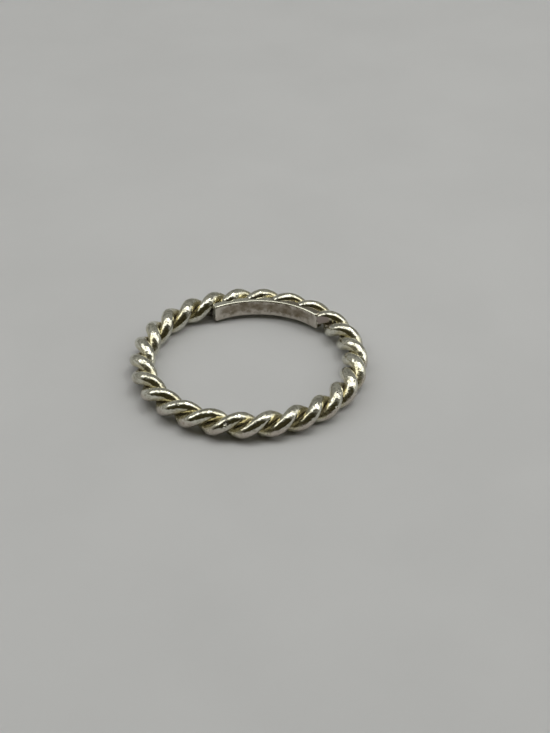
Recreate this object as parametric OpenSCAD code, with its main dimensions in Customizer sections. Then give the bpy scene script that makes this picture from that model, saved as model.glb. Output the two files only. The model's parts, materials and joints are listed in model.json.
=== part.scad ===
// A rope twist ring: two round wires twisted left-handed into a closed rope,
// with a small bent plate let into the rope's inner side.
// The ring lies flat. Its axis is Z, the origin is the middle of the finger hole on the
// surface that the ring rests on, and +Y points from there to the plate.

/* [Finger hole] */
// Diameter of the finger hole, between the innermost points of the wires
bore_d = 17.3; // [14:0.1:22]

/* [Rope] */
// Thickness of each round wire
wire_d = 1.2; // [0.8:0.05:1.8]
// Room between the two wires where they lie closest together
wire_gap = 0.024; // [0.01:0.002:0.06]
// Lean of a wire across the rope, measured from the rope's own direction
wire_lean = 36.7; // [24:0.1:42]
// Place round the ring where the first wire lies outermost, counted from +X
twist_start = 13.7; // [0:0.1:360]

/* [Plate] */
// Length of the plate along its inner face
plate_length = 10.6; // [4:0.1:14]
// Height of the plate, along the ring's axis
plate_h = 1.67; // [0.8:0.01:2.2]
// Thickness of the plate
plate_t = 0.8; // [0.4:0.05:0.85]
// Radius that the plate's inner face is bent to
plate_bend_r = 7.8; // [7:0.05:11]
// How far the middle of the plate stands into the finger hole, past the wires
plate_proud = 0; // [-0.2:0.01:0.4]
// Place of the plate's middle round the ring, counted from +X
plate_at = 90; // [0:1:359]
// Turn of the plate about its middle, seen from above, which brings one end further in
plate_turn = 2.8; // [-6:0.1:6]
// Tilt of the plate about its middle, which brings the other end up
plate_tilt = 1.2; // [-3:0.1:3]
// Hairline room between the plate and the pocket cut for it in the wires
plate_fit = 0.03; // [0.01:0.005:0.08]

/* [Fineness] */
// Sides of each wire's section
wire_sides = 12; // [10:2:16]
// Sections along a wire for each time that it goes round the rope
sections_per_turn = 24; // [16:4:28]

/* [Hidden] */

full_turn = 360;
half_turn = full_turn / 2;

wire_r = wire_d / 2;
// From the middle of the rope to the middle of either wire
strand_r = (wire_d + wire_gap) / 2;
rope_d = 2 * strand_r + wire_d;
// From the ring's axis to the middle of the rope
ring_r = (bore_d + rope_d) / 2;
// Times that each wire goes round the rope, whole so that the rope closes on itself
turns = max(3, round(ring_r * tan(wire_lean) / strand_r));
sections = turns * sections_per_turn;

plate_span = arc_angle(plate_length, plate_bend_r);

// Angle under which a length lies along an arc of this radius
function arc_angle(length, radius) = length / radius * half_turn / PI;

function unit(v) = v / norm(v);

// How far round the rope a wire has turned at a place round the ring, 0 being outermost
function twist_at(place, lead) = turns * (place - twist_start) + lead;

// Middle of a wire at a place round the ring
function wire_middle(place, lead) =
    let (twist = twist_at(place, lead),
         reach = ring_r + strand_r * cos(twist))
    [reach * cos(place), reach * sin(place), rope_d / 2 + strand_r * sin(twist)];

// Direction that a wire runs in at a place round the ring
function wire_direction(place, lead) =
    let (twist = twist_at(place, lead),
         reach = ring_r + strand_r * cos(twist),
         outward = -strand_r * turns * sin(twist),
         upward = strand_r * turns * cos(twist))
    unit([outward * cos(place) - reach * sin(place),
          outward * sin(place) + reach * cos(place),
          upward]);

// Round section of a wire, square to its direction
function wire_section(place, lead) =
    let (middle = wire_middle(place, lead),
         ahead = wire_direction(place, lead),
         side = unit(cross(ahead, [0, 0, 1])),
         rise = cross(side, ahead))
    [for (k = [0 : wire_sides - 1])
        let (angle = full_turn * k / wire_sides)
        middle + wire_r * (cos(angle) * side + sin(angle) * rise)];

// One closed wire, whose last section joins on to its first
module wire(lead) {
    points = [for (i = [0 : sections - 1])
        each wire_section(twist_start + full_turn * i / sections, lead)];
    faces = [for (i = [0 : sections - 1], k = [0 : wire_sides - 1])
        let (here = i * wire_sides,
             next = (i + 1) % sections * wire_sides,
             turned = (k + 1) % wire_sides)
        each [[here + k, here + turned, next + turned],
              [here + k, next + turned, next + k]]];
    polyhedron(points, faces, convexity = 10);
}

// Puts what is drawn about the plate's own bend where the plate lies in the ring,
// with the plate's middle midway up the rope
module at_plate() {
    rotate([0, 0, plate_at])
        translate([bore_d / 2 - plate_proud, 0, rope_d / 2])
            rotate([0, 0, plate_turn])
                rotate([-plate_tilt, 0, 0])
                    translate([-plate_bend_r, 0, 0])
                        children();
}

// A flat bar bent about Z, with its middle on +X and half its height below the bend's plane
module bent_bar(inner_r, outer_r, height, span) {
    rotate([0, 0, -span / 2])
        rotate_extrude(angle = span, $fn = 180)
            translate([inner_r, -height / 2])
                square([outer_r - inner_r, height]);
}

// Room for the plate, open towards the finger hole
module plate_pocket() {
    at_plate()
        bent_bar(
            plate_bend_r - rope_d,
            plate_bend_r + plate_t + plate_fit,
            plate_h + 2 * plate_fit,
            plate_span + 2 * arc_angle(plate_fit, plate_bend_r));
}

// A wire of the rope, cut back where the plate is let in
module strand(lead) {
    difference() {
        wire(lead);
        plate_pocket();
    }
}

module strand_a() {
    color("silver")
        strand(0);
}

// The second wire lies across the rope from the first
module strand_b() {
    color("gainsboro")
        strand(half_turn);
}

module inner_plate() {
    color("lightgrey")
        at_plate()
            bent_bar(plate_bend_r, plate_bend_r + plate_t, plate_h, plate_span);
}

strand_a();
strand_b();
inner_plate();
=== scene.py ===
"""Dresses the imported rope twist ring: two twisted silver wires, the small bent plate let into
the rope's inner side, and a plain studio. All is in metres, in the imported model's frame: the
ring rests on Z = 0 about the Z axis, and +Y points to the plate."""

import json
import math

import bmesh
import bpy
from bpy.props import (
    FloatProperty,
    FloatVectorProperty,
    IntProperty,
    PointerProperty,
)
from mathutils import Matrix, Vector, noise


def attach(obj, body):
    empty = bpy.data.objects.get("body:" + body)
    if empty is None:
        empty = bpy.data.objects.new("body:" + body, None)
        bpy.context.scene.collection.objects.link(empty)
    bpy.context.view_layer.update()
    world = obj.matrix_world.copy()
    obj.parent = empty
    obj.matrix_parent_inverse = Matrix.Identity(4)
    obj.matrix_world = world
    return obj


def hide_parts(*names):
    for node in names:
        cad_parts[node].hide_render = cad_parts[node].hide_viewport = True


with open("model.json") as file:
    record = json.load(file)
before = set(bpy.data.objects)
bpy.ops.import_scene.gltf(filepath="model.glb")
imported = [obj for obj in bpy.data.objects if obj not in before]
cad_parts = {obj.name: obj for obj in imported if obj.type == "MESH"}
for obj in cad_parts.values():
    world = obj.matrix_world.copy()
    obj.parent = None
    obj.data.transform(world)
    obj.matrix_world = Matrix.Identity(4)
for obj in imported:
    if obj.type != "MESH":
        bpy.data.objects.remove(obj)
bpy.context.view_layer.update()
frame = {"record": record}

bl_info = {
    "name": "Rope Twist Ring",
    "version": (1, 0, 0),
    "blender": (4, 5, 0),
    "location": "3D View > Sidebar > Rope Ring",
    "description": "Makes a ring of two twisted silver wires with a small plate inside",
    "category": "Object",
}

MM = 0.001
FULL_TURN = 2 * math.pi
WIRE_NODES = ("strand_a", "strand_b")
PLATE_NODE = "inner_plate"

# Attributes that the pieces carry for their patterns
ROUND_ATTRIBUTE = "wire_round"
FLOW_ATTRIBUTE = "plate_flow"

# Where the hand-made twist runs late or, below nought, early: a place round the ring from +X,
# the reach to either side of it and how far the twist is moved there, all in degrees
SLIPS = (
    (15, 20, -0.5),
    (92, 40, 1.25),
    (135, 25, -1.1),
    (160, 25, -1.0),
    (192, 38, -0.95),
    (308, 22, -0.25),
    (340, 20, 0.25),
)

# Nicks in the wires: a point on the surface, the nick's radius and its depth, all in millimetres
NICKS = (
    ((0.36, -10.80, 1.95), 0.19, 0.120),
    ((9.20, -4.68, 2.31), 0.13, 0.050),
    ((9.48, -4.80, 2.13), 0.11, 0.040),
    ((9.34, -5.80, 1.49), 0.15, 0.060),
    ((-4.22, -9.37, 2.32), 0.10, 0.030),
    ((-10.20, 1.90, 1.90), 0.14, 0.045),
    ((6.40, 8.60, 1.60), 0.15, 0.050),
    ((-3.40, 10.40, 1.50), 0.13, 0.045),
)

# A small flat filed on the first wire beside the plate's right end: a point on it and the way that
# it faces, then in millimetres where the filing fades and where its matt look fades, both by the
# way from that point, and how far off the flat's plane that look fades
FILED_POINT = (5.60, 7.165, 1.72)
FILED_FACING = Vector((-0.12, -0.99, -0.03)).normalized()
FILED_REACH = (0.57, 0.95)
MATTED_REACH = (0.62, 0.80)
MATTED_DEPTH = (0.010, 0.040)

# Dark spots, part dirt and part painted shade: the shaded walls of the nicks, the shadowed seams beside
# the plate's ends and the shadowed lower side of the wire right of the filed flat. Each is a point on
# the surface and a radius, in millimetres; then the share of each radius that is darkest and how much
# metal the spots hide
DIRT_AND_SHADE_SPOTS = (
    ((0.26, -10.72, 2.06), 0.12),
    ((0.46, -10.67, 2.11), 0.12),
    ((0.62, -10.70, 2.03), 0.09),
    ((0.40, -10.91, 1.75), 0.10),
    ((0.10, -10.95, 1.68), 0.11),
    ((-0.22, -10.97, 1.68), 0.09),
    ((9.20, -4.68, 2.31), 0.09),
    ((9.50, -4.82, 2.14), 0.07),
    ((-4.22, -9.37, 2.32), 0.06),
    ((-2.00, -10.20, 2.25), 0.06),
    ((-5.45, 7.60, 1.05), 0.50),
    ((-5.38, 7.46, 0.45), 0.40),
    ((5.14, 7.14, 1.95), 0.10),
    ((5.13, 7.13, 1.70), 0.11),
    ((5.13, 7.13, 1.45), 0.11),
    ((5.16, 7.13, 1.22), 0.11),
    ((6.44, 7.04, 1.67), 0.23),
    ((6.82, 6.95, 1.74), 0.20),
)
DARKEST_SHARE = 0.6
METAL_HIDDEN = 0.5

# Patterns in the metal and on the floor: the scale, detail and roughness of their noise
BLOTCHES = (900.0, 3.0, 0.6)
GRAINS = (4200.0, 4.0, 0.65)
PITS = (5600.0, 2.0, 0.6)
SWELLS = (1500.0, 1.0)
RIPPLES = (3400.0, 1.0)
DRAWN_LINES = (1.0, 3.0, 0.6)
PLATE_BLOTCHES = (1500.0, 4.0, 0.62)
PLATE_GRAINS = (7000.0, 3.0, 0.6)
PLATE_BRUSHING = (1.0, 3.0, 0.6)
FLOOR_CLOUD = (60.0, 3.0, 0.5)
# Part of a pattern's range that most of its values lie in
PATTERN_SPAN = (0.3, 0.7)

# Ramps, each as two values of a pattern and what they are taken to: the film that dulls a wire,
# its dark specks, its polish, and the plate's film and satin
FILM_RAMP = (0.43, 0.60, 0.0, 1.0)
SPECK_RAMP = (0.50, 0.68, 0.0, 0.40)
POLISH_RAMP = (0.35, 0.75, 0.05, 0.10)
PLATE_FILM_RAMP = (0.35, 0.70, 0.62, 1.0)
SATIN_RAMP = (0.30, 0.75, 0.30, 0.46)

# Where a wire's looks change, in rope radii, each from its first value to its second: the groove,
# the painted shade of the crevice and the oxide by the way from the rope's middle, the wear and
# painted shade on the lower outer side by the way across the rope and up it, then how much metal shows
# in the oxide, how much of that wear and shade is left low down, and how far the blotches and the
# grains make these edges stray
GROOVE_FADE = (0.60, 0.92)
CREVICE_SHADE_FADE = (0.18, 0.40)
OXIDE_FADE = (0.15, 0.60)
WEAR_AND_SHADE_ACROSS = (0.35, 0.85)
WEAR_AND_SHADE_FADE_ABOVE = (-0.10, 0.45)
WEAR_AND_SHADE_FADE_BELOW = (-0.90, -0.60)
OXIDE_METAL = 0.50
WEAR_AND_SHADE_LEFT_BELOW = 0.4
BLOTCH_STRAY = 0.1
GRAIN_STRAY = 0.12

# The plate's looks, in millimetres: how much less its ends are rubbed than its long edges, where
# the rubbing fades and how far its edge strays
ENDS_SPARED = 0.08
RUB_FADE = (0.03, 0.16)
RUB_STRAY = (-0.03, 0.05)
# Where the dark film sets in below the top edge, above the bottom edge and inwards from the ends,
# and how far its edge strays
FILM_BELOW_TOP = (-0.05, 0.40)
FILM_ABOVE_BOTTOM = (0.20, 0.80)
FILM_FROM_END = (0.15, 1.10)
FILM_STRAY = (-0.22, 0.22)
# Dirt and painted shade in the seam with the wires, on the plate's faces behind its inner face: how
# deep behind the inner face it sets in, from where to where along the plate it fades, how far that
# strays, and its strength at the right end, seen from the front
SEAM_DIRT_AND_SHADE_DEPTH = (0.12, 0.24)
SEAM_DIRT_AND_SHADE_ALONG = (-2.5, 2.5)
SEAM_DIRT_AND_SHADE_STRAY = (-1.5, 1.5)
SEAM_DIRT_AND_SHADE_STRENGTH = 0.75
# Depth of the brushing, and how much smoother the rubbed edges are
BRUSH_DEPTH = 0.008
RUB_POLISH = 0.14

# How finely the edges of the dark spots of dirt and painted shade, the nicks and the filed flat are
# frayed, and how far they stray
FRAY_SCALE = 9000.0
FRAY_REACH = 0.16 * MM
# Fineness of a wire's drawn lines round it and along it, and of the plate's brushing along it,
# across it and through it
DRAWN_ROUND = 10.0
DRAWN_ALONG = 260.0
BRUSH_FINENESS = (900.0, 16000.0, 16000.0)

# Unevenness of the shapes: the scale and detail of a wire's waves and dents, how far apart the two
# wires' patterns are taken, and the scale, depth and fading of the plate's uneven face
WAVES = (1100.0, 1.0)
DENTS = (2600.0, 2.0)
SEED_STEP = 0.37
FACE_WAVES = 700.0
FACE_DEPTH = 0.006 * MM
FACE_FADE = 0.2 * MM

# Steps that the plate is drawn in: up its face, along it, round a corner, round an edge and
# through its thickness, then along the pocket that is cut for it
PLATE_ROWS = 16
PLATE_COLUMNS = 96
CORNER_STEPS = 6
EDGE_STEPS = 4
SIDE_STEPS = 6
POCKET_STEPS = 60
# Edges sharper than this angle are shaded as edges
SHARP_EDGE = math.radians(38)

# The softboxes: a name, the setting that holds its brightness, then in metres its middle and the
# point that it faces, both as rightward, toward the camera and up, its width and its depth
SOFTBOXES = (
    ("overhead_softbox", "overhead_glow", (0.25, -0.022, 0.30), (0.25, -0.022, 0), 0.70, 0.15),
    ("key_softbox", "key_glow", (0.10, -0.09, 0.30), (0, 0, 0), 0.07, 0.05),
    ("left_softbox", "left_glow", (-0.375, -0.022, 0.30), (-0.375, -0.022, 0), 0.47, 0.15),
    ("window_softbox", "window_glow", (0.54, -0.15, 0.21), (0, 0, 0), 0.34, 0.26),
)
LAMP_COLOUR = (1.0, 0.995, 0.93)
# The room from its far side, at -1, to the camera's side, at 1: a little glow that it takes on
# towards its sides, with how much, and where it turns to the tone of its near side
ROOM_GLOW = (1.0, 1.0, 0.95)
GLOW_RAMP = (-0.80, -0.30, 0.0, 0.12)
NEAR_RAMP = (-0.05, 0.50)
# The floor: half its width in metres, its roughness and its tone in the darker clouds
FLOOR_HALF = 1.5
FLOOR_ROUGHNESS = 0.75
FLOOR_DARKER = 0.96
# The point that the camera looks at and the width of its sensor, in millimetres, and the nearest
# distance that it sees, in metres
CAMERA_AIM = (2.261, 1.082, 0.0)
SENSOR_WIDTH = 36
CLIP_START = 0.005

finger_hole = next(m for m in frame["record"]["mounts"] if m["name"] == "finger_hole")


# Sizes and colours that a user would change


class RopeSizes(bpy.types.PropertyGroup):
    """Sizes of the twisted rope and of its wires."""

    hole_radius: FloatProperty(
        name="Finger Hole Radius",
        description="From the ring's axis to the innermost points of the wires",
        default=finger_hole["dims"]["r_mm"] * MM,
        min=5 * MM,
        unit="LENGTH",
        subtype="DISTANCE",
        precision=5,
    )
    wire_radius: FloatProperty(
        name="Wire Radius",
        description="Half the thickness of either wire",
        default=0.6 * MM,
        min=0.2 * MM,
        unit="LENGTH",
        subtype="DISTANCE",
        precision=5,
    )
    wire_gap: FloatProperty(
        name="Gap",
        description="Room between the two wires where they lie closest together",
        default=0.024 * MM,
        min=0,
        unit="LENGTH",
        subtype="DISTANCE",
        precision=6,
    )
    press: FloatProperty(
        name="Press",
        description="How far each wire is pressed into the other, so that no light shows between",
        default=0.008 * MM,
        min=0,
        unit="LENGTH",
        subtype="DISTANCE",
        precision=6,
    )
    turns: IntProperty(
        name="Turns",
        description="Times that each wire goes round the rope",
        default=12,
        min=3,
    )
    twist_start: FloatProperty(
        name="Twist Start",
        description="Place round the ring where the first wire lies outermost",
        default=math.radians(13.2),
        unit="ROTATION",
        subtype="ANGLE",
    )
    sections_per_turn: IntProperty(
        name="Sections per Turn",
        description="Sections along a wire for each time that it goes round the rope",
        default=72,
        min=24,
    )
    sides: IntProperty(
        name="Sides",
        description="Sides of a wire's round section",
        default=32,
        min=12,
    )
    wave_depth: FloatProperty(
        name="Wave Depth",
        description="How far the worn surface swells and sinks in broad waves",
        default=0.015 * MM,
        min=0,
        unit="LENGTH",
        subtype="DISTANCE",
        precision=6,
    )
    dent_depth: FloatProperty(
        name="Dent Depth",
        description="Depth of the small dents left by wear",
        default=0.006 * MM,
        min=0,
        unit="LENGTH",
        subtype="DISTANCE",
        precision=6,
    )


class PlateSizes(bpy.types.PropertyGroup):
    """Sizes and place of the bent plate."""

    length: FloatProperty(
        name="Length",
        description="Length of the plate along its inner face",
        default=10.6 * MM,
        unit="LENGTH",
        subtype="DISTANCE",
        precision=5,
    )
    height: FloatProperty(
        name="Height",
        description="Height of the plate along the ring's axis",
        default=1.67 * MM,
        unit="LENGTH",
        subtype="DISTANCE",
        precision=5,
    )
    thickness: FloatProperty(
        name="Thickness",
        description="Thickness of the plate",
        default=0.8 * MM,
        unit="LENGTH",
        subtype="DISTANCE",
        precision=5,
    )
    bend_radius: FloatProperty(
        name="Bend Radius",
        description="Radius that the plate's inner face is bent to",
        default=7.8 * MM,
        unit="LENGTH",
        subtype="DISTANCE",
        precision=5,
    )
    place: FloatProperty(
        name="Place",
        description="Place of the plate's middle round the ring",
        default=math.radians(90),
        unit="ROTATION",
        subtype="ANGLE",
    )
    turn: FloatProperty(
        name="Turn",
        description="Turn about the plate's middle that brings one end further in",
        default=math.radians(2.8),
        unit="ROTATION",
        subtype="ANGLE",
    )
    tilt: FloatProperty(
        name="Tilt",
        description="Tilt about the plate's middle that brings one end up",
        default=math.radians(1.2),
        unit="ROTATION",
        subtype="ANGLE",
    )
    fit: FloatProperty(
        name="Fit",
        description="Hairline room between the plate and the wires",
        default=0.03 * MM,
        unit="LENGTH",
        subtype="DISTANCE",
        precision=6,
    )
    edge_radius: FloatProperty(
        name="Edge Radius",
        description="Rounding of the plate's rubbed edges",
        default=0.17 * MM,
        unit="LENGTH",
        subtype="DISTANCE",
        precision=6,
    )
    corner_radius: FloatProperty(
        name="Corner Radius",
        description="Rounding of the inner face's four corners",
        default=0.22 * MM,
        unit="LENGTH",
        subtype="DISTANCE",
        precision=6,
    )


class SilverColours(bpy.types.PropertyGroup):
    """Colours of the silver."""

    bright: FloatVectorProperty(
        name="Bright Silver",
        description="Colour of the polished silver and of the plate's rubbed edges",
        default=(0.77, 0.76, 0.66),
        size=3,
        min=0,
        max=1,
        subtype="COLOR",
    )
    dull: FloatVectorProperty(
        name="Dull Silver",
        description="Colour of the silver where it has dulled",
        default=(0.51, 0.50, 0.425),
        size=3,
        min=0,
        max=1,
        subtype="COLOR",
    )
    tarnish: FloatVectorProperty(
        name="Tarnish",
        description="Golden colour of the tarnish in the grooves",
        default=(0.62, 0.58, 0.41),
        size=3,
        min=0,
        max=1,
        subtype="COLOR",
    )
    # Painted shade over the oxide: this dark colour darkens the crevices where the wires meet, where
    # shade falls; it also colours the wires' dark specks
    oxide_and_shade: FloatVectorProperty(
        name="Crevice",
        description="Colour of the dark oxide where the wires meet",
        default=(0.17, 0.122, 0.055),
        size=3,
        min=0,
        max=1,
        subtype="COLOR",
    )
    # Part dirt, part painted shade: the dark colour of the spots round the nicks and in the shadowed
    # seams beside the plate's ends
    dirt_and_shade: FloatVectorProperty(
        name="Dirt",
        description="Colour of the dirt round the nicks and beside the plate's ends",
        default=(0.055, 0.047, 0.035),
        size=3,
        min=0,
        max=1,
        subtype="COLOR",
    )
    # Part wear, part painted shade: this darker, pinker colour mattes the outer side and darkens it low
    # down, standing in for the shadowed floor that it reflects
    wear_and_shade: FloatVectorProperty(
        name="Worn Silver",
        description="Colour of the silver that wear has matted on the outside",
        default=(0.62, 0.565, 0.50),
        size=3,
        min=0,
        max=1,
        subtype="COLOR",
    )
    filed: FloatVectorProperty(
        name="Filed Silver",
        description="Colour of the small flat filed beside the plate",
        default=(0.40, 0.34, 0.31),
        size=3,
        min=0,
        max=1,
        subtype="COLOR",
    )
    plate: FloatVectorProperty(
        name="Plate Silver",
        description="Colour of the plate's satin face",
        default=(0.62, 0.575, 0.51),
        size=3,
        min=0,
        max=1,
        subtype="COLOR",
    )
    # Also painted as shade, with dirt, on the plate's faces behind its inner face, in the seam with the
    # wires
    plate_dark: FloatVectorProperty(
        name="Plate Blotches",
        description="Colour of the plate's darker blotches",
        default=(0.22, 0.18, 0.125),
        size=3,
        min=0,
        max=1,
        subtype="COLOR",
    )


class StudioSettings(bpy.types.PropertyGroup):
    """The floor, the lights and the camera."""

    floor_colour: FloatVectorProperty(
        name="Floor",
        description="Colour of the plain floor",
        default=(0.66, 0.665, 0.695),
        size=3,
        min=0,
        max=1,
        subtype="COLOR",
    )
    overhead_glow: FloatProperty(
        name="Overhead Glow",
        description="Brightness of the long softbox overhead",
        default=1.65,
        min=0,
    )
    key_glow: FloatProperty(
        name="Key Glow",
        description="Brightness of the small softbox that casts the shadows",
        default=6.0,
        min=0,
    )
    window_glow: FloatProperty(
        name="Window Glow",
        description="Brightness of the softbox low on the right",
        default=0.8,
        min=0,
    )
    left_glow: FloatProperty(
        name="Left Glow",
        description="Brightness of the weaker softbox overhead on the left",
        default=1.75,
        min=0,
    )
    room_far: FloatVectorProperty(
        name="Far Side of the Room",
        description="Tone of the room beyond the ring",
        default=(0.265, 0.265, 0.245),
        size=3,
        min=0,
        max=1,
        subtype="COLOR",
    )
    room_near: FloatVectorProperty(
        name="Near Side of the Room",
        description="Tone of the room on the camera's side",
        default=(0.043, 0.038, 0.019),
        size=3,
        min=0,
        max=1,
        subtype="COLOR",
    )
    camera_azimuth: FloatProperty(
        name="Camera Azimuth",
        description="Direction that the camera looks from, 0 being from -Y",
        default=math.radians(12.1),
        unit="ROTATION",
        subtype="ANGLE",
    )
    camera_elevation: FloatProperty(
        name="Camera Elevation",
        description="Height of the camera above the floor, as an angle",
        default=math.radians(36.2),
        unit="ROTATION",
        subtype="ANGLE",
    )
    camera_distance: FloatProperty(
        name="Camera Distance",
        description="From the camera to the point that it looks at",
        default=0.150,
        unit="LENGTH",
        subtype="DISTANCE",
    )
    camera_lens: FloatProperty(
        name="Camera Lens",
        description="Focal length of the camera, in millimetres on its 36 mm sensor",
        default=78.61,
        unit="CAMERA",
    )


# Helpers for node trees


def in_metres(millimetres):
    return tuple(value * MM for value in millimetres)


class Graph:
    """Adds nodes to a tree. An input given another node's socket is linked, others are set."""

    def __init__(self, tree):
        self.tree = tree

    def node(self, kind, inputs=None, **settings):
        node = self.tree.nodes.new(kind)
        for name, value in settings.items():
            setattr(node, name, value)
        for key, value in (inputs or {}).items():
            self.feed(node, key, value)
        return node

    def output(self, kind, inputs=None, **settings):
        """The first output of a new node"""
        return self.node(kind, inputs, **settings).outputs[0]

    def feed(self, node, key, value):
        socket = node.inputs[key]
        if isinstance(value, bpy.types.NodeSocket):
            self.tree.links.new(value, socket)
        else:
            socket.default_value = value

    def math(self, operation, *values):
        return self.output("ShaderNodeMath", dict(enumerate(values)), operation=operation)

    def plus(self, first, *others):
        for other in others:
            first = self.math("ADD", first, other)
        return first

    def minus(self, first, second):
        return self.math("SUBTRACT", first, second)

    def times(self, first, *others):
        for other in others:
            first = self.math("MULTIPLY", first, other)
        return first

    def hypotenuse(self, first, second):
        return self.math("SQRT", self.plus(self.times(first, first), self.times(second, second)))

    def vector(self, operation, *values):
        return self.output("ShaderNodeVectorMath", dict(enumerate(values)), operation=operation)

    def measure(self, operation, first, second):
        """A number taken from two vectors, such as their distance or their dot product"""
        node = self.node("ShaderNodeVectorMath", {0: first, 1: second}, operation=operation)
        return node.outputs["Value"]

    def scaled(self, value, factor):
        inputs = {0: value, "Scale": factor}
        return self.output("ShaderNodeVectorMath", inputs, operation="SCALE")

    def split(self, value):
        return tuple(self.node("ShaderNodeSeparateXYZ", {0: value}).outputs)

    def noise(self, place, scale, detail, roughness=0.5):
        inputs = {"Vector": place, "Scale": scale, "Detail": detail, "Roughness": roughness}
        return self.output("ShaderNodeTexNoise", inputs)

    def ramp(self, value, low, high, start=0.0, end=1.0):
        """value taken from low..high to start..end, smoothly and held at both ends"""
        inputs = {0: value, 1: low, 2: high, 3: start, 4: end}
        return self.output("ShaderNodeMapRange", inputs, interpolation_type="SMOOTHSTEP")

    def fade(self, value, low, high):
        """One where value is up to low, falling smoothly to nought at high"""
        return self.ramp(value, low, high, 1.0, 0.0)

    def spread(self, pattern, low=0.0, high=1.0):
        """Most of a pattern's range taken to low..high"""
        return self.ramp(pattern, *PATTERN_SPAN, low, high)

    def mix_colour(self, factor, first, second):
        node = self.node("ShaderNodeMix", {0: factor, 6: first, 7: second}, data_type="RGBA")
        return node.outputs[2]


def colour(value):
    return (*value, 1.0)


# Materials


def material_graph(name):
    """A new material with its graph, its shader and its object coordinates"""
    material = bpy.data.materials.new(name)
    material.use_nodes = True
    graph = Graph(material.node_tree)
    shader = next(n for n in material.node_tree.nodes if n.type == "BSDF_PRINCIPLED")
    place = graph.node("ShaderNodeTexCoord").outputs["Object"]
    return material, graph, shader, place


def tinted(graph, tone, layers):
    """A tone with layers of other colours over it, each where its mask is"""
    for mask, tint in layers:
        tone = graph.mix_colour(mask, tone, colour(tint))
    return tone


def distance(graph, place, spot):
    """From a spot, given in millimetres, to the place"""
    return graph.measure("DISTANCE", place, in_metres(spot))


def above_filed_flat(graph, place):
    """How far a place stands above the plane of the filed flat"""
    gap = graph.vector("SUBTRACT", place, in_metres(FILED_POINT))
    return graph.measure("DOT_PRODUCT", gap, tuple(FILED_FACING))


def in_rope_radii(graph, rope, place):
    """How far a place lies across the rope, up it and from its middle outwards, in rope radii"""
    rope_radius = 2 * rope.wire_radius + rope.wire_gap / 2
    x, y, z = graph.split(place)
    beyond = graph.minus(graph.hypotenuse(x, y), rope.hole_radius + rope_radius)
    across = graph.math("DIVIDE", beyond, rope_radius)
    upward = graph.math("DIVIDE", graph.minus(z, rope_radius), rope_radius)
    return across, upward, graph.hypotenuse(across, upward)


def frayed_place(graph, place):
    """The place strayed a little, which frays the edge of all that is measured from it"""
    jagged = graph.node("ShaderNodeTexNoise", {"Vector": place, "Scale": FRAY_SCALE})
    stray = graph.vector("SUBTRACT", jagged.outputs["Color"], (0.5, 0.5, 0.5))
    return graph.vector("ADD", place, graph.scaled(stray, FRAY_REACH))


def filed_mask(graph, place, frayed):
    """One on the filed flat and nought elsewhere"""
    off_flat = graph.math("ABSOLUTE", above_filed_flat(graph, place))
    return graph.times(
        graph.fade(off_flat, *in_metres(MATTED_DEPTH)),
        graph.fade(distance(graph, frayed, FILED_POINT), *in_metres(MATTED_REACH)),
    )


def dirt_and_shade_mask(graph, frayed):
    """One in the dark spots of dirt and painted shade and nought elsewhere"""
    dirt_and_shade = 0.0
    for spot, radius in DIRT_AND_SHADE_SPOTS:
        gap = distance(graph, frayed, spot)
        patch = graph.fade(gap, DARKEST_SHARE * radius * MM, radius * MM)
        dirt_and_shade = graph.math("MAXIMUM", dirt_and_shade, patch)
    return dirt_and_shade


def wire_relief(graph, place, frayed, pits):
    """Height of a wire's fine relief, in millimetres: soft swells, drawn lines, pits and nicks"""
    drawn = graph.node("ShaderNodeAttribute", attribute_name=ROUND_ATTRIBUTE).outputs["Vector"]
    round_it, along_it = graph.scaled(drawn, DRAWN_ROUND), graph.scaled(place, DRAWN_ALONG)
    lines = graph.noise(graph.vector("ADD", round_it, along_it), *DRAWN_LINES)
    relief = 0.0
    for pattern, height in (
        (graph.noise(place, *SWELLS), 0.045),
        (graph.noise(place, *RIPPLES), 0.025),
        (lines, 0.004),
        (pits, 0.003),
    ):
        relief = graph.plus(relief, graph.times(pattern, height))
    for spot, radius, deep in NICKS:
        gap = distance(graph, frayed, spot)
        relief = graph.minus(relief, graph.ramp(gap, 0.0, radius * MM, deep, 0.0))
    return relief


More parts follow.
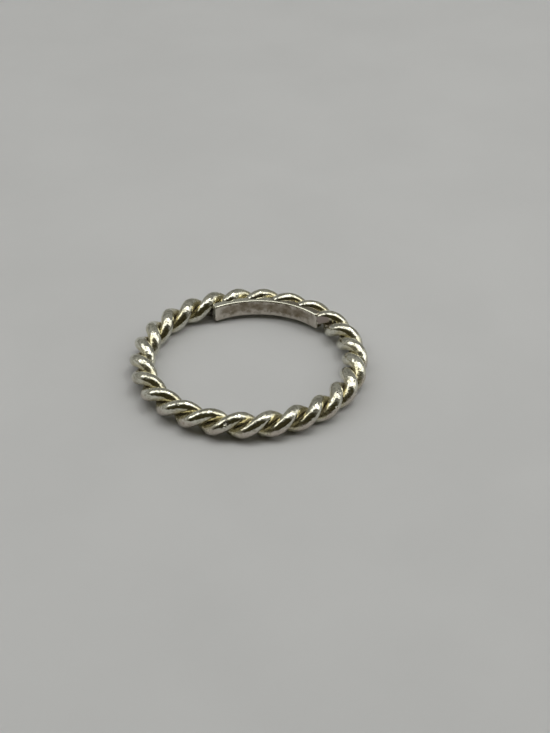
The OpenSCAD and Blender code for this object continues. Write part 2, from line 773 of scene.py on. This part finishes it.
def wire_silver(rope, colours):
    """Polished silver with light wear, golden tarnish down in the grooves, and painted shade: dark in
    the crevices where the wires meet, on the lower outer side along with its wear, and in dark spots
    round the nicks and beside the plate's ends
    """
    material, graph, shader, place = material_graph("wire_silver")
    across, upward, outward = in_rope_radii(graph, rope, place)
    blotches = graph.noise(place, *BLOTCHES)
    grains = graph.noise(place, *GRAINS)
    pits = graph.noise(place, *PITS)
    uneven = graph.plus(outward, graph.spread(blotches, BLOTCH_STRAY, -BLOTCH_STRAY))
    groove = graph.fade(uneven, *GROOVE_FADE)
    # Painted shade with oxide: the crevices where the wires meet are darkened as shade
    oxide_and_shade = graph.fade(uneven, *CREVICE_SHADE_FADE)
    grained = graph.plus(across, graph.spread(grains, -GRAIN_STRAY, GRAIN_STRAY))
    # Wear and painted shade on the outer side of the rope, strongest low down
    wear_and_shade = graph.times(
        graph.ramp(grained, *WEAR_AND_SHADE_ACROSS),
        graph.fade(upward, *WEAR_AND_SHADE_FADE_ABOVE),
        graph.ramp(upward, *WEAR_AND_SHADE_FADE_BELOW, WEAR_AND_SHADE_LEFT_BELOW, 1.0),
    )
    frayed = frayed_place(graph, place)
    filed = filed_mask(graph, place, frayed)
    # Dark spots of dirt and painted shade round the nicks and beside the plate's ends
    dirt_and_shade = dirt_and_shade_mask(graph, frayed)

    film = graph.times(graph.plus(blotches, grains), 0.5)
    layers = (
        (graph.ramp(film, *FILM_RAMP), colours.dull),
        (wear_and_shade, colours.wear_and_shade),
        (groove, colours.tarnish),
        (oxide_and_shade, colours.oxide_and_shade),
        (graph.ramp(pits, *SPECK_RAMP), colours.oxide_and_shade),
        (filed, colours.filed),
        (dirt_and_shade, colours.dirt_and_shade),
    )
    graph.feed(shader, "Base Color", tinted(graph, colour(colours.bright), layers))
    metal = graph.ramp(uneven, *OXIDE_FADE, OXIDE_METAL, 1.0)
    graph.feed(shader, "Metallic", graph.minus(metal, graph.times(dirt_and_shade, METAL_HIDDEN)))

    roughness = graph.ramp(grains, *POLISH_RAMP)
    for mask, more in (
        (groove, 0.10),
        (oxide_and_shade, 0.26),
        (wear_and_shade, 0.18),
        (dirt_and_shade, 0.30),
        (filed, 0.25),
    ):
        roughness = graph.plus(roughness, graph.times(mask, more))
    graph.feed(shader, "Roughness", roughness)
    relief = wire_relief(graph, place, frayed, pits)
    bump = graph.output("ShaderNodeBump", {"Height": relief, "Distance": MM})
    graph.feed(shader, "Normal", bump)
    return material


def plate_silver(plate, colours):
    """Satin silver with darker blotches, fine brushing along the plate and rubbed bright edges, and
    dirt with painted shade on its faces behind the inner face, in the seam with the wires
    """
    material, graph, shader, place = material_graph("plate_silver")
    graph.feed(shader, "Metallic", 1.0)
    flow = graph.node("ShaderNodeAttribute", attribute_name=FLOW_ATTRIBUTE).outputs["Vector"]
    along, upward, deep = graph.split(flow)
    to_end = graph.minus(plate.length / 2, graph.math("ABSOLUTE", along))
    to_top = graph.minus(plate.height / 2, upward)
    to_bottom = graph.plus(upward, plate.height / 2)
    to_side = graph.math("MINIMUM", to_top, to_bottom)
    to_edge = graph.math("MINIMUM", graph.plus(to_end, ENDS_SPARED * MM), to_side)

    blotches = graph.noise(place, *PLATE_BLOTCHES)
    grains = graph.noise(place, *PLATE_GRAINS)
    ragged = graph.plus(to_edge, graph.spread(blotches, *in_metres(RUB_STRAY)))
    rubbed = graph.fade(ragged, *in_metres(RUB_FADE))
    stray = graph.spread(blotches, *in_metres(FILM_STRAY))
    film = graph.ramp(blotches, *PLATE_FILM_RAMP)
    for gap, sets_in in (
        (to_top, FILM_BELOW_TOP),
        (to_bottom, FILM_ABOVE_BOTTOM),
        (to_end, FILM_FROM_END),
    ):
        film = graph.times(film, graph.ramp(graph.plus(gap, stray), *in_metres(sets_in)))
    # Dirt and painted shade on the faces behind the inner face, beside the wires, fading along the
    # plate
    shifted = graph.plus(along, graph.spread(blotches, *in_metres(SEAM_DIRT_AND_SHADE_STRAY)))
    seam_dirt_and_shade = graph.times(
        graph.ramp(deep, *in_metres(SEAM_DIRT_AND_SHADE_DEPTH)),
        graph.ramp(shifted, *in_metres(SEAM_DIRT_AND_SHADE_ALONG), SEAM_DIRT_AND_SHADE_STRENGTH, 0.0),
    )
    layers = (
        (film, colours.plate_dark),
        (rubbed, colours.bright),
        (seam_dirt_and_shade, colours.plate_dark),
    )
    graph.feed(shader, "Base Color", tinted(graph, colour(colours.plate), layers))
    satin = graph.ramp(blotches, *SATIN_RAMP)
    graph.feed(shader, "Roughness", graph.minus(satin, graph.times(rubbed, RUB_POLISH)))
    brushed = graph.vector("MULTIPLY", flow, BRUSH_FINENESS)
    brushing = graph.noise(brushed, *PLATE_BRUSHING)
    relief = graph.plus(graph.times(brushing, 0.6), graph.times(grains, 0.4))
    bump = graph.output("ShaderNodeBump", {"Height": relief, "Distance": BRUSH_DEPTH * MM})
    graph.feed(shader, "Normal", bump)
    return material


def floor_material(tone):
    """Plain pale matt floor, its tone just short of even"""
    material, graph, shader, place = material_graph("studio_floor")
    cloud = graph.spread(graph.noise(place, *FLOOR_CLOUD))
    darker = tuple(FLOOR_DARKER * c for c in tone)
    graph.feed(shader, "Base Color", graph.mix_colour(cloud, colour(tone), colour(darker)))
    graph.feed(shader, "Roughness", FLOOR_ROUGHNESS)
    return material


# Geometry Nodes for the wires


def wire_tree():
    """Node tree that draws one closed wire twisted round the rope, and wears its surface"""
    tree = bpy.data.node_groups.new("Twisted Wire", "GeometryNodeTree")
    face = tree.interface
    for name, kind in (
        ("Rope Ring Radius", "NodeSocketFloat"),
        ("Wire Offset", "NodeSocketFloat"),
        ("Wire Radius", "NodeSocketFloat"),
        ("Turns", "NodeSocketInt"),
        ("Twist Start", "NodeSocketFloat"),
        ("Lead", "NodeSocketFloat"),
        ("Sections", "NodeSocketInt"),
        ("Sides", "NodeSocketInt"),
        ("Wave Depth", "NodeSocketFloat"),
        ("Dent Depth", "NodeSocketFloat"),
        ("Seed", "NodeSocketFloat"),
        ("Material", "NodeSocketMaterial"),
    ):
        face.new_socket(name=name, in_out="INPUT", socket_type=kind)
    face.new_socket(name="Wire", in_out="OUTPUT", socket_type="NodeSocketGeometry")
    graph = Graph(tree)
    given = graph.node("NodeGroupInput").outputs

    # The middle line of the wire, one point for each section
    index = graph.output("GeometryNodeInputIndex")
    swing = graph.times(graph.math("DIVIDE", index, given["Sections"]), FULL_TURN)
    place = graph.plus(given["Twist Start"], swing)
    slipped = swing
    for centre, span, slip in SLIPS:
        off = graph.math("WRAP", graph.minus(place, math.radians(centre)), math.pi, -math.pi)
        gap = graph.math("ABSOLUTE", off)
        eased = graph.ramp(gap, 0.0, math.radians(span), math.radians(slip), 0.0)
        slipped = graph.minus(slipped, eased)
    twist = graph.plus(graph.times(given["Turns"], slipped), given["Lead"])
    outward = graph.times(given["Wire Offset"], graph.math("COSINE", twist))
    upward = graph.times(given["Wire Offset"], graph.math("SINE", twist))
    reach = graph.plus(given["Rope Ring Radius"], outward)
    position = graph.output(
        "ShaderNodeCombineXYZ",
        {
            0: graph.times(reach, graph.math("COSINE", place)),
            1: graph.times(reach, graph.math("SINE", place)),
            2: graph.plus(given["Wire Offset"], given["Wire Radius"], upward),
        },
    )
    loop = graph.output(
        "GeometryNodeCurvePrimitiveCircle", {"Resolution": given["Sections"]}, mode="RADIUS"
    )
    loop = graph.output("GeometryNodeSetPosition", {"Geometry": loop, "Position": position})
    loop = graph.output("GeometryNodeSetCurveNormal", {"Curve": loop}, mode="Z_UP")

    # The round section, swept along it
    section = graph.output(
        "GeometryNodeCurvePrimitiveCircle",
        {"Resolution": given["Sides"], "Radius": given["Wire Radius"]},
        mode="RADIUS",
    )
    capture = graph.node("GeometryNodeCaptureAttribute", {"Geometry": section}, domain="POINT")
    capture.capture_items.new("VECTOR", "Round")
    here = graph.output("GeometryNodeInputPosition")
    graph.feed(capture, "Round", graph.vector("NORMALIZE", here))
    wire = graph.output(
        "GeometryNodeCurveToMesh", {"Curve": loop, "Profile Curve": capture.outputs["Geometry"]}
    )
    wire = graph.output(
        "GeometryNodeStoreNamedAttribute",
        {"Geometry": wire, "Name": ROUND_ATTRIBUTE, "Value": capture.outputs["Round"]},
        data_type="FLOAT_VECTOR",
        domain="CORNER",
    )

    # Waves and dents, then the filed flat
    seed = graph.output("ShaderNodeCombineXYZ", {2: given["Seed"]})
    seeded = graph.vector("ADD", here, seed)
    waves = graph.minus(graph.noise(seeded, *WAVES), 0.5)
    dents = graph.minus(graph.noise(seeded, *DENTS), 0.5)
    lift = graph.plus(
        graph.times(waves, given["Wave Depth"], 2.0),
        graph.times(dents, given["Dent Depth"], 2.0),
    )
    swell = graph.scaled(graph.output("GeometryNodeInputNormal"), lift)
    wire = graph.output("GeometryNodeSetPosition", {"Geometry": wire, "Offset": swell})
    near = graph.fade(distance(graph, here, FILED_POINT), *in_metres(FILED_REACH))
    proud = graph.times(near, graph.math("MAXIMUM", above_filed_flat(graph, here), 0.0))
    filing = graph.scaled(tuple(-FILED_FACING), proud)
    wire = graph.output("GeometryNodeSetPosition", {"Geometry": wire, "Offset": filing})

    wire = graph.output("GeometryNodeSetShadeSmooth", {"Geometry": wire})
    wire = graph.output("GeometryNodeRealizeInstances", {"Geometry": wire})
    wire = graph.output(
        "GeometryNodeSetMaterial", {"Geometry": wire, "Material": given["Material"]}
    )
    graph.node("NodeGroupOutput", {"Wire": wire})
    return tree


def plain_mesh(thing, name):
    """Replaces an object by a plain mesh object of what its modifiers make of it"""
    bpy.context.view_layer.update()
    graph = bpy.context.evaluated_depsgraph_get()
    mesh = bpy.data.meshes.new_from_object(
        thing.evaluated_get(graph), preserve_all_data_layers=True, depsgraph=graph
    )
    mesh.name = name
    thing.modifiers.clear()
    bpy.data.objects.remove(thing)
    piece = bpy.data.objects.new(name, mesh)
    bpy.context.scene.collection.objects.link(piece)
    return piece


def twisted_wire(tree, name, rope, lead, seed, material):
    """One wire of the rope, drawn by the node tree and turned into a mesh"""
    holder = bpy.data.objects.new(name + "_path", bpy.data.meshes.new(name + "_path"))
    bpy.context.scene.collection.objects.link(holder)
    modifier = holder.modifiers.new("Twisted Wire", "NODES")
    modifier.node_group = tree
    room = rope.wire_radius + rope.wire_gap / 2
    values = {
        "Rope Ring Radius": rope.hole_radius + room + rope.wire_radius,
        "Wire Offset": room - rope.press,
        "Wire Radius": room,
        "Turns": rope.turns,
        "Twist Start": rope.twist_start,
        "Lead": lead,
        "Sections": rope.turns * rope.sections_per_turn,
        "Sides": rope.sides,
        "Wave Depth": rope.wave_depth,
        "Dent Depth": rope.dent_depth,
        "Seed": seed,
        "Material": material,
    }
    for item in tree.interface.items_tree:
        if item.item_type == "SOCKET" and item.in_out == "INPUT":
            modifier[item.identifier] = values[item.name]
    return plain_mesh(holder, name)


# The bent plate


def plate_matrix(rope, plate):
    """Takes the plate from about its own bend to its place in the ring"""
    offset = rope.wire_radius + rope.wire_gap / 2
    middle = Vector((rope.hole_radius, 0, offset + rope.wire_radius))
    return (
        Matrix.Rotation(plate.place, 4, "Z")
        @ Matrix.Translation(middle)
        @ Matrix.Rotation(plate.turn, 4, "Z")
        @ Matrix.Rotation(-plate.tilt, 4, "X")
        @ Matrix.Translation((-plate.bend_radius, 0, 0))
    )


def bent(along, upward, deep, bend_radius):
    """Point of the bent plate, from its place along, up and into the flat plate"""
    angle = along / bend_radius
    radius = bend_radius + deep
    return Vector((radius * math.cos(angle), radius * math.sin(angle), upward))


def plate_columns(straight_half):
    """Columns of the plate's outline, from one end to the other: which end's corners a column is
    in, or 0 between them, its angle within the corner's arc, and how far along it is between them"""
    quarter = math.pi / 2
    columns = []
    for step in range(CORNER_STEPS):
        columns.append((-1, quarter * (1 - step / CORNER_STEPS), 0.0))
    for step in range(PLATE_COLUMNS + 1):
        columns.append((0, 0.0, (2 * step / PLATE_COLUMNS - 1) * straight_half))
    for step in range(1, CORNER_STEPS + 1):
        columns.append((1, quarter * step / CORNER_STEPS, 0.0))
    return columns


def join_rings(shape, rings):
    """Faces between each ring of points and the next"""
    count = len(rings[0])
    for first, second in zip(rings, rings[1:]):
        for k in range(count):
            turned = (k + 1) % count
            shape.faces.new((first[k], first[turned], second[turned], second[k]))


def placed_mesh(shape, name, rope, plate):
    """Mesh of a shape drawn about the plate's own bend, in the plate's place in the ring"""
    bmesh.ops.recalc_face_normals(shape, faces=shape.faces)
    shape.transform(plate_matrix(rope, plate))
    mesh = bpy.data.meshes.new(name)
    shape.to_mesh(mesh)
    shape.free()
    return mesh


def plate_mesh(rope, plate):
    """The bent plate with rounded corners, rounded edges and a slightly uneven face"""
    corner, edge, thickness = plate.corner_radius, plate.edge_radius, plate.thickness
    straight_half, straight_rise = plate.length / 2 - corner, plate.height / 2 - corner
    columns = plate_columns(straight_half)
    last = len(columns) - 1
    outline = (
        [(c, PLATE_ROWS) for c in range(last)]
        + [(last, r) for r in range(PLATE_ROWS, 0, -1)]
        + [(c, 0) for c in range(last, 0, -1)]
        + [(0, r) for r in range(PLATE_ROWS)]
    )
    shape = bmesh.new()
    flow = shape.verts.layers.float_vector.new(FLOW_ATTRIBUTE)

    def point(c, r, inset, deep):
        end, angle, along = columns[c]
        reach = corner - inset
        if end:
            along = end * (straight_half + reach * math.sin(angle))
        half = straight_rise + reach * math.cos(angle)
        upward = half * (2 * r / PLATE_ROWS - 1)
        uneven = 0.0
        if inset >= edge and deep <= 0:
            fade = min(1.0, max(0.0, half - abs(upward)) / FACE_FADE)
            wave = noise.noise(Vector((along, upward, 0.0)) * FACE_WAVES)
            uneven = FACE_DEPTH * wave * fade
        vert = shape.verts.new(bent(along, upward, deep + uneven, plate.bend_radius))
        vert[flow] = (along, upward, deep)
        return vert

    def sheet_at(deep):
        return [[point(c, r, edge, deep) for r in range(PLATE_ROWS + 1)] for c in range(last + 1)]

    def rim(sheet):
        return [sheet[c][r] for c, r in outline]

    def ring_at(inset, deep):
        return [point(c, r, inset, deep) for c, r in outline]

    front, back = sheet_at(0.0), sheet_at(thickness)
    for sheet in (front, back):
        for left, right in zip(sheet, sheet[1:]):
            for r in range(PLATE_ROWS):
                shape.faces.new((left[r], right[r], right[r + 1], left[r + 1]))
    angles = [math.pi / 2 * step / EDGE_STEPS for step in range(1, EDGE_STEPS + 1)]
    rounding = [(edge * (1 - math.sin(a)), edge * (1 - math.cos(a))) for a in angles]
    side = thickness - 2 * edge
    rings = [rim(front)]
    rings += [ring_at(inset, deep) for inset, deep in rounding]
    rings += [ring_at(0.0, edge + side * step / SIDE_STEPS) for step in range(1, SIDE_STEPS)]
    rings += [ring_at(inset, thickness - deep) for inset, deep in reversed(rounding)]
    rings.append(rim(back))
    join_rings(shape, rings)
    mesh = placed_mesh(shape, "bent_plate", rope, plate)
    mesh.shade_smooth()
    return mesh


def pocket_cutter(rope, plate):
    """Solid that cuts the room for the plate out of the wires, open towards the finger hole"""
    half_length = plate.length / 2 + plate.fit
    half_height = plate.height / 2 + plate.fit
    near, far = -(4 * rope.wire_radius + rope.wire_gap), plate.thickness + plate.fit
    corners = ((near, -half_height), (far, -half_height), (far, half_height), (near, half_height))
    shape = bmesh.new()
    rings = []
    for step in range(POCKET_STEPS + 1):
        along = (2 * step / POCKET_STEPS - 1) * half_length
        rings.append(
            [shape.verts.new(bent(along, up, deep, plate.bend_radius)) for deep, up in corners]
        )
    join_rings(shape, rings)
    shape.faces.new(rings[0])
    shape.faces.new(rings[-1])
    mesh = placed_mesh(shape, "plate_pocket", rope, plate)
    cutter = bpy.data.objects.new("plate_pocket", mesh)
    bpy.context.scene.collection.objects.link(cutter)
    return cutter


# Operators


class RING_OT_twist_wires(bpy.types.Operator):
    """Twists the two silver wires into the closed rope and cuts the plate's pocket in them"""

    bl_idname = "rope_ring.twist_wires"
    bl_label = "Twist Wires"

    def execute(self, context):
        rope, plate = context.scene.rope_sizes, context.scene.plate_sizes
        material = wire_silver(rope, context.scene.silver_colours)
        tree = wire_tree()
        cutter = pocket_cutter(rope, plate)
        for number, node in enumerate(WIRE_NODES):
            lead, seed = number * math.pi, number * SEED_STEP
            uncut = twisted_wire(tree, node + "_uncut", rope, lead, seed, material)
            cut = uncut.modifiers.new("Plate Pocket", "BOOLEAN")
            cut.operation = "DIFFERENCE"
            cut.solver = "EXACT"
            cut.object = cutter
            wire = plain_mesh(uncut, "twisted_wire_" + "ab"[number])
            if len(wire.data.polygons) < rope.turns * rope.sections_per_turn:
                raise RuntimeError("the wire came out empty")
            wire.data.set_sharp_from_angle(angle=SHARP_EDGE)
            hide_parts(node)
            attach(wire, "root")
        bpy.data.objects.remove(cutter)
        return {"FINISHED"}


class RING_OT_let_in_plate(bpy.types.Operator):
    """Bends the small plate and lets it into the rope's inner side"""

    bl_idname = "rope_ring.let_in_plate"
    bl_label = "Let In Plate"

    def execute(self, context):
        rope, plate = context.scene.rope_sizes, context.scene.plate_sizes
        mesh = plate_mesh(rope, plate)
        mesh.materials.append(plate_silver(plate, context.scene.silver_colours))
        piece = bpy.data.objects.new("bent_plate", mesh)
        context.scene.collection.objects.link(piece)
        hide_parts(PLATE_NODE)
        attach(piece, "root")
        return {"FINISHED"}


class RING_OT_set_stage(bpy.types.Operator):
    """Lays the plain floor, hangs the softboxes, tints the room and sets up the camera"""

    bl_idname = "rope_ring.set_stage"
    bl_label = "Set Stage"

    def execute(self, context):
        scene, studio = context.scene, context.scene.studio_settings
        toward = Vector((math.sin(studio.camera_azimuth), -math.cos(studio.camera_azimuth), 0))
        self.lay_floor(scene, studio)
        self.hang_softboxes(scene, studio, toward)
        self.tint_room(scene, studio, toward)
        self.set_camera(scene, studio, toward)
        scene.view_settings.view_transform = "Standard"
        return {"FINISHED"}

    def lay_floor(self, scene, studio):
        mesh = bpy.data.meshes.new("studio_floor")
        corners = [(x * FLOOR_HALF, y * FLOOR_HALF, 0) for x, y in ((-1, -1), (1, -1), (1, 1), (-1, 1))]
        mesh.from_pydata(corners, [], [(0, 1, 2, 3)])
        mesh.materials.append(floor_material(studio.floor_colour))
        floor = bpy.data.objects.new("studio_floor", mesh)
        scene.collection.objects.link(floor)

    def hang_softboxes(self, scene, studio, toward):
        upward = Vector((0, 0, 1))
        rightward = upward.cross(toward)
        axes = Matrix((rightward, toward, upward)).transposed()
        for name, setting, place, faced, width, depth in SOFTBOXES:
            middle = axes @ Vector(place)
            away = (middle - axes @ Vector(faced)).normalized()
            light = bpy.data.lights.new(name, "AREA")
            light.shape = "RECTANGLE"
            light.size, light.size_y = width, depth
            light.energy = getattr(studio, setting) * math.pi * width * depth
            light.color = LAMP_COLOUR
            lamp = bpy.data.objects.new(name, light)
            hangs_level = abs(away.z) > 0.99
            side = rightward if hangs_level else upward.cross(away).normalized()
            turn = Matrix((side, away.cross(side), away)).transposed()
            lamp.matrix_world = Matrix.Translation(middle) @ turn.to_4x4()
            scene.collection.objects.link(lamp)

    def tint_room(self, scene, studio, toward):
        world = bpy.data.worlds.new("studio_room")
        world.use_nodes = True
        scene.world = world
        graph = Graph(world.node_tree)
        backdrop = next(n for n in world.node_tree.nodes if n.type == "BACKGROUND")
        heading = graph.node("ShaderNodeTexCoord").outputs["Generated"]
        facing = graph.measure("DOT_PRODUCT", heading, tuple(toward))
        layers = (
            (graph.ramp(facing, *GLOW_RAMP), ROOM_GLOW),
            (graph.ramp(facing, *NEAR_RAMP), studio.room_near),
        )
        graph.feed(backdrop, "Color", tinted(graph, colour(studio.room_far), layers))

    def set_camera(self, scene, studio, toward):
        rise = studio.camera_elevation
        back = math.cos(rise) * toward + Vector((0, 0, math.sin(rise)))
        aim = Vector(CAMERA_AIM) * MM
        lens = bpy.data.cameras.new("photo_camera")
        lens.lens = studio.camera_lens
        lens.sensor_width = SENSOR_WIDTH
        lens.clip_start = CLIP_START
        camera = bpy.data.objects.new("photo_camera", lens)
        camera.location = aim + studio.camera_distance * back
        camera.rotation_euler = back.to_track_quat("Z", "Y").to_euler()
        scene.collection.objects.link(camera)
        scene.camera = camera


class RING_PT_panel(bpy.types.Panel):
    """Lists the ring's sizes, colours and steps"""

    bl_idname = "RING_PT_panel"
    bl_label = "Rope Twist Ring"
    bl_space_type = "VIEW_3D"
    bl_region_type = "UI"
    bl_category = "Rope Ring"

    def draw(self, context):
        layout, scene = self.layout, context.scene
        for operator, group in (
            (RING_OT_twist_wires, scene.rope_sizes),
            (RING_OT_let_in_plate, scene.plate_sizes),
            (None, scene.silver_colours),
            (RING_OT_set_stage, scene.studio_settings),
        ):
            box = layout.box()
            for name in group.bl_rna.properties.keys():
                if name not in ("rna_type", "name"):
                    box.prop(group, name)
            if operator:
                box.operator(operator.bl_idname)


GROUPS = {
    "rope_sizes": RopeSizes,
    "plate_sizes": PlateSizes,
    "silver_colours": SilverColours,
    "studio_settings": StudioSettings,
}
CLASSES = (
    *GROUPS.values(),
    RING_OT_twist_wires,
    RING_OT_let_in_plate,
    RING_OT_set_stage,
    RING_PT_panel,
)


def register():
    for one in CLASSES:
        bpy.utils.register_class(one)
    for name, group in GROUPS.items():
        setattr(bpy.types.Scene, name, PointerProperty(type=group))


def unregister():
    for name in GROUPS:
        delattr(bpy.types.Scene, name)
    for one in reversed(CLASSES):
        bpy.utils.unregister_class(one)


def main():
    register()
    bpy.ops.rope_ring.twist_wires()
    bpy.ops.rope_ring.let_in_plate()
    bpy.ops.rope_ring.set_stage()


if __name__ == "__main__":
    main()
